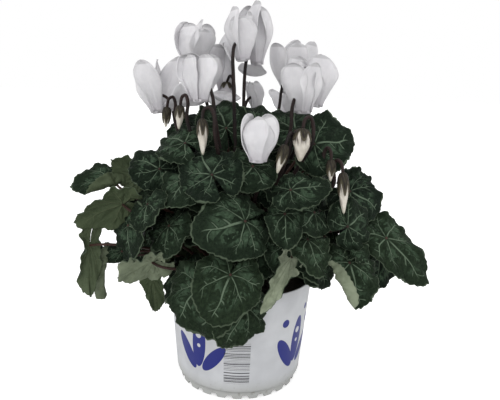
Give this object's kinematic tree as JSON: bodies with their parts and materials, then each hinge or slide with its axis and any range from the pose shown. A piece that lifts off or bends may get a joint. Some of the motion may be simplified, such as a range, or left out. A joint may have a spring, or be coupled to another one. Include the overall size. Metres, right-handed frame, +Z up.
{
  "type": "potted cyclamen",
  "caption": "White-flowered cyclamen with dark green heart-shaped leaves, growing in a thin white plastic nursery pot with a printed wall.",
  "frame": {"origin": "under the middle of the pot, on the surface that the pot stands on", "axes": "+Z up, -Y towards the side that the picture shows, +X to the right of that side"},
  "size_m": [0.2781, 0.2184, 0.3109],
  "materials": {
    "pot": "thin white moulded plastic, smooth, with blue and grey print on the outside",
    "soil": "moist dark peat, crumbly",
    "stems": "brown corm with dark purple-brown flower stems and brown-red leaf stems, slightly shiny",
    "petals": "white, thin and matt, faintly lilac in the shade",
    "buds": "cream, with dark streaks at the calyx",
    "leaves": "dark green with pale grey-green veins, slightly waxy, olive-green underneath"
  },
  "bodies": {
    "root": {"pot": "pot", "soil": "soil", "crown": "stems", "bloom_1": "petals", "bloom_2": "petals", "bloom_3": "petals", "bloom_4": "petals", "bloom_5": "petals", "bloom_6": "petals", "bloom_7": "petals", "bloom_8": "petals", "bloom_9": "petals", "bloom_10": "petals", "bloom_11": "petals", "bloom_12": "petals", "bud_1": "buds", "bud_2": "buds", "bud_3": "buds", "bud_4": "buds", "bud_5": "buds", "bud_6": "buds", "bud_7": "buds", "leaf_1": "leaves", "leaf_2": "leaves", "leaf_3": "leaves", "leaf_4": "leaves", "leaf_5": "leaves", "leaf_6": "leaves", "leaf_7": "leaves", "leaf_8": "leaves", "leaf_9": "leaves", "leaf_10": "leaves", "leaf_11": "leaves", "leaf_12": "leaves", "leaf_13": "leaves", "leaf_14": "leaves", "leaf_15": "leaves", "leaf_16": "leaves", "leaf_17": "leaves", "leaf_18": "leaves", "leaf_19": "leaves", "leaf_20": "leaves", "leaf_21": "leaves", "leaf_22": "leaves", "leaf_23": "leaves", "leaf_24": "leaves", "leaf_25": "leaves", "leaf_26": "leaves", "leaf_27": "leaves", "leaf_28": "leaves", "leaf_29": "leaves", "leaf_30": "leaves", "leaf_31": "leaves", "leaf_32": "leaves", "leaf_33": "leaves", "leaf_34": "leaves", "leaf_35": "leaves", "leaf_36": "leaves", "leaf_37": "leaves"}
  },
  "joints": []
}
